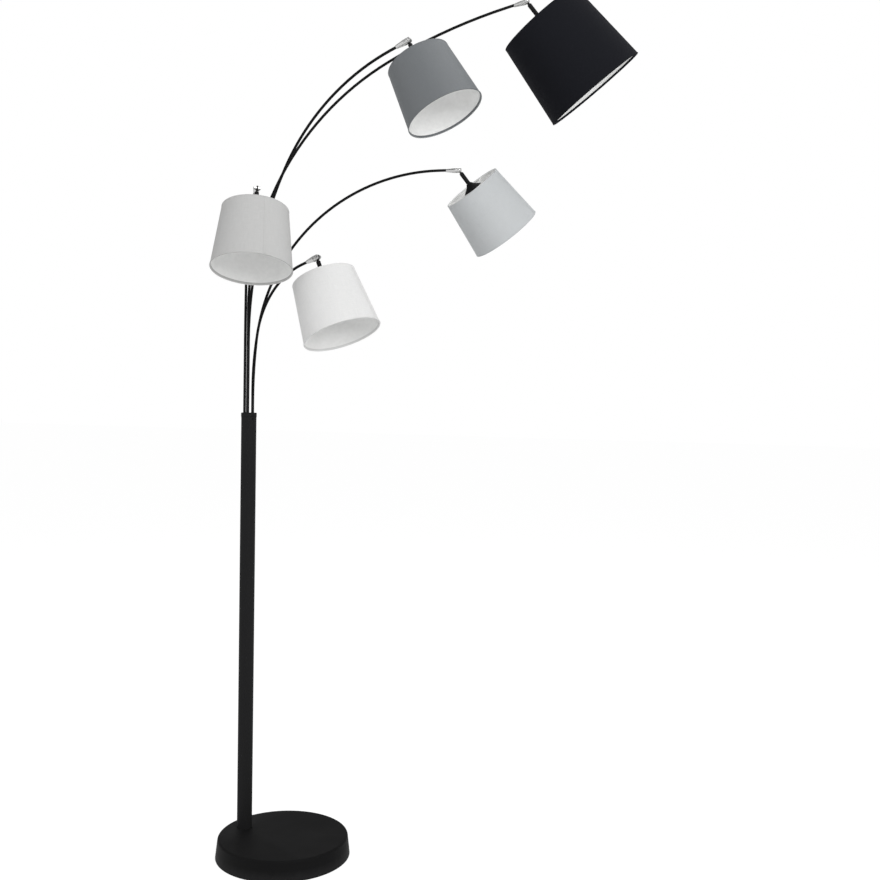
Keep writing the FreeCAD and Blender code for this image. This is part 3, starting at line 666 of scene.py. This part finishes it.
def holder_thread(arm, material):
    """The brass thread that winds down the mouth of a lamp holder."""
    radius, length = socket_size(arm)
    bpy.ops.mesh.primitive_circle_add(
        vertices=HOLDER_RIDGE_SIDES, radius=HOLDER_RIDGE, rotation=(math.pi / 2, 0, 0),
        location=(radius - HOLDER_INSET, 0, -length / 2 + HOLDER_START))
    piece = named(f"{arm}_holder_thread")
    add_modifier(piece, "SCREW", angle=FULL_TURN, screw_offset=HOLDER_PITCH,
                 iterations=HOLDER_TURNS, steps=HOLDER_STEPS, render_steps=HOLDER_STEPS,
                 axis="Z", use_merge_vertices=True)
    edit(piece, "SELECT")
    bpy.ops.mesh.remove_doubles(threshold=0.01 * MM)
    bpy.ops.mesh.normals_make_consistent(inside=False)
    bpy.ops.mesh.select_all(action="DESELECT")
    bpy.ops.mesh.select_mode(type="EDGE")
    bpy.ops.mesh.select_non_manifold()
    bpy.ops.mesh.edge_face_add()
    done()
    smooth(piece, ROUND_ANGLE)
    settle(piece, socket_place(arm), f"head_{arm}", material)


def centre_contact(arm, material):
    """The sprung brass contact at the bottom of a lamp holder."""
    _, length = socket_size(arm)
    bpy.ops.mesh.primitive_cylinder_add(
        vertices=CONTACT_SIDES, radius=CONTACT_RADIUS, depth=CONTACT_PLATE,
        location=(0, 0, (CONTACT_PLATE - length) / 2))
    piece = named(f"{arm}_centre_contact")
    edit_top(piece)
    bpy.ops.mesh.inset(thickness=CONTACT_SHOULDER)
    bpy.ops.mesh.extrude_region_move(TRANSFORM_OT_translate={"value": (0, 0, CONTACT_STALK)})
    inset_and_raise(CONTACT_TIP, CONTACT_TIP)
    done()
    ease_edges(piece, CONTACT_EDGE)
    smooth(piece)
    settle(piece, socket_place(arm), f"head_{arm}", material)


def screw_clouds(axis):
    """The corners of the plain hub screws, as one list for each screw."""
    groups = []
    for vertex in frame["nodes"]["hub_screws"].data.vertices:
        angle = math.atan2(vertex.co.y - axis.y, vertex.co.x - axis.x)
        for group_angle, cloud in groups:
            if abs((angle - group_angle + math.pi) % FULL_TURN - math.pi) < GRUB_SPREAD:
                cloud.append(vertex.co)
                break
        else:
            groups.append((angle, [vertex.co]))
    return [cloud for _, cloud in groups]


def hub_grub_screws(material):
    """Grub screws with sockets in the hub, in place of the plain ones."""
    low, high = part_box("hub_screws")
    level = (low.z + high.z) / 2
    radius = (high.z - low.z) / 2
    hub_low, hub_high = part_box("pole_hub")
    axis = (hub_low + hub_high) / 2
    for number, cloud in enumerate(screw_clouds(axis), start=1):
        middle = sum(cloud, Vector()) / len(cloud)
        way = Vector((middle.x - axis.x, middle.y - axis.y, 0)).normalized()
        reach = [(c - Vector((axis.x, axis.y, middle.z))).dot(way) for c in cloud]
        bpy.ops.mesh.primitive_cylinder_add(
            vertices=SCREW_SIDES, radius=radius, depth=max(reach) - min(reach),
            location=(0, 0, (max(reach) + min(reach)) / 2))
        piece = named(f"hub_grub_screw_{number}")
        edit_top(piece)
        inset_and_raise(radius * GRUB_SOCKET_SHARE, -GRUB_SOCKET_DEPTH)
        done()
        ease_edges(piece, GRUB_EDGE)
        smooth(piece)
        place = frame_from((axis.x, axis.y, level), way, (0, 0, 1))
        settle(piece, place, "root", material)
    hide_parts("hub_screws")


# --------------------------------------------------------------- dress the lamp

finishes = {
    "black_satin_metal": powder_coat("black_powder_coat", COAT_BLACK),
    "concrete": grained("poured_concrete", CONCRETE, 0.0, 0.9, CONCRETE_GRAIN, CONCRETE_RELIEF),
    "black_rubber": moulded("black_felt_rubber", RUBBER, 0.85, RUBBER_GRAIN),
    "steel": grained("zinc_plated_steel", ZINC, 1.0, 0.38, ZINC_GRAIN, ZINC_RELIEF),
    "black_plastic": moulded("black_plastic", PLASTIC_BLACK, 0.5),
    "chrome": satin_plating("satin_chrome", CHROME, 0.24),
    "white_plastic": moulded("white_holder_plastic", PLASTIC_WHITE, 0.42),
    "white_wire": moulded("white_enamel", ENAMEL_WHITE, 0.35),
}
fabrics = {arm: shade_fabric(f"{arm}_shade_fabric", FABRIC[arm], FABRIC_GLOSS[arm])
           for arm in ARMS}
lining = shade_lining("white_lining", LINING_WHITE)
brass = satin_plating("brass", BRASS, 0.3)

# the CAD shades have no finish here: a drum with fabric and lining replaces each
for node, item in frame["nodes"].items():
    finish = finishes.get(slots[node])
    if finish is not None:
        item.data.materials.clear()
        item.data.materials.append(finish)

for arm in ARMS:
    drum_shade(arm, fabrics[arm], lining)
    rolled_hem(arm, "upper", fabrics[arm])
    rolled_hem(arm, "lower", fabrics[arm])
    turned_hem(arm, fabrics[arm])
    side_seam(arm, fabrics[arm])
    screw_head(arm, "front", finishes["chrome"])
    screw_head(arm, "back", finishes["chrome"])
    holder_thread(arm, brass)
    centre_contact(arm, brass)
hub_grub_screws(finishes["black_satin_metal"])


# ------------------------------------------------------------ stage and camera

CAMERA_PLACE = (1.2185, -2.0843, 1.0210)
CAMERA_YAW = -0.3883
CAMERA_PITCH = -0.034
CAMERA_ROLL = 0.017
CAMERA_FOCAL_PIXELS = 1074.0
CAMERA_RANGE = 50
PHOTO_WIDTH = 880.0
FLOOR_SIZE = 60
FLOOR_GREY = (0.86, 0.86, 0.86, 1)
FLOOR_ROUGHNESS = 0.9
FLOOR_SHARE = 0.80                   # of plain white in what the camera sees
FLOOR_WHITE = 1.12
SKY_LEVEL = 0.55
SOFT_BOXES = {
    "key_from_right": {
        "place": (3.2, -2.2, 2.6), "target": (0.1, 0, 1.3), "size": (1.8, 2.4), "power": 95},
    "fill_from_left": {
        "place": (-2.6, -2.6, 1.8), "target": (0.1, 0, 1.2), "size": (2.0, 2.4), "power": 30},
    "glow_from_above": {
        "place": (0.4, 0.6, 4.2), "target": (0.2, 0, 1.4), "size": (2.6, 2.6), "power": 40},
}


def photo_camera():
    """The camera at the photograph's place, from its yaw, pitch and roll."""
    bpy.ops.object.camera_add(location=(0, 0, 0))
    camera = bpy.context.active_object
    camera.name = "photo_camera"
    ahead = Vector((math.sin(CAMERA_YAW) * math.cos(CAMERA_PITCH),
                    math.cos(CAMERA_YAW) * math.cos(CAMERA_PITCH),
                    math.sin(CAMERA_PITCH)))
    right = Vector((math.cos(CAMERA_YAW), -math.sin(CAMERA_YAW), 0))
    up = right.cross(ahead)
    rolled_right = right * math.cos(CAMERA_ROLL) + up * math.sin(CAMERA_ROLL)
    rolled_up = up * math.cos(CAMERA_ROLL) - right * math.sin(CAMERA_ROLL)
    place = Matrix((rolled_right, rolled_up, -ahead)).transposed().to_4x4()
    place.translation = Vector(CAMERA_PLACE)
    camera.matrix_world = place
    camera.data.sensor_fit = "HORIZONTAL"
    camera.data.lens = camera.data.sensor_width * CAMERA_FOCAL_PIXELS / PHOTO_WIDTH
    camera.data.clip_end = CAMERA_RANGE
    bpy.context.scene.camera = camera


def seen_white(nodes, links, lit):
    """Mixes a lit shader with white wherever a camera or a shiny piece looks."""
    path = nodes.new("ShaderNodeLightPath")
    rays = path.outputs["Is Camera Ray"]
    for other in ("Is Glossy Ray", "Is Transmission Ray"):
        rays = joined(nodes, links, "MAXIMUM", rays, path.outputs[other])
    share = nodes.new("ShaderNodeMath")
    share.operation = "MULTIPLY"
    share.inputs[1].default_value = FLOOR_SHARE
    links.new(rays, share.inputs[0])
    white = nodes.new("ShaderNodeEmission")
    white.inputs["Strength"].default_value = FLOOR_WHITE
    mix = nodes.new("ShaderNodeMixShader")
    links.new(share.outputs[0], mix.inputs[0])
    links.new(lit, mix.inputs[1])
    links.new(white.outputs[0], mix.inputs[2])
    return mix.outputs[0]


def pale_floor():
    bpy.ops.mesh.primitive_plane_add(size=FLOOR_SIZE, location=(0, 0, 0))
    floor = named("pale_floor")
    material, nodes, links = new_material("pale_floor")
    shader = shader_of(nodes)
    shader.inputs["Base Color"].default_value = FLOOR_GREY
    shader.inputs["Roughness"].default_value = FLOOR_ROUGHNESS
    output = nodes["Material Output"]
    links.new(seen_white(nodes, links, shader.outputs[0]), output.inputs["Surface"])
    floor.data.materials.append(material)


def soft_world(level):
    """An even pale surround, seen as plain white."""
    world = bpy.data.worlds.new("studio")
    bpy.context.scene.world = world
    world.use_nodes = True
    nodes, links = world.node_tree.nodes, world.node_tree.links
    sky = nodes["Background"]
    sky.inputs["Color"].default_value = (1, 1, 1, 1)
    path = nodes.new("ShaderNodeLightPath")
    span = nodes.new("ShaderNodeMapRange")
    span.inputs["To Min"].default_value = level
    span.inputs["To Max"].default_value = 1.0
    links.new(path.outputs["Is Camera Ray"], span.inputs["Value"])
    links.new(span.outputs["Result"], sky.inputs["Strength"])


def soft_box(name, place, target, size, power):
    """A rectangular light that faces a target."""
    bpy.ops.object.light_add(type="AREA", location=place)
    lamp = bpy.context.active_object
    lamp.name = name
    lamp.data.shape = "RECTANGLE"
    lamp.data.size, lamp.data.size_y = size
    lamp.data.energy = power
    lamp.rotation_euler = (Vector(target) - Vector(place)).to_track_quat("-Z", "Y").to_euler()


photo_camera()
pale_floor()
soft_world(SKY_LEVEL)
for name, light in SOFT_BOXES.items():
    soft_box(name, **light)

bpy.context.scene.view_settings.view_transform = "Standard"
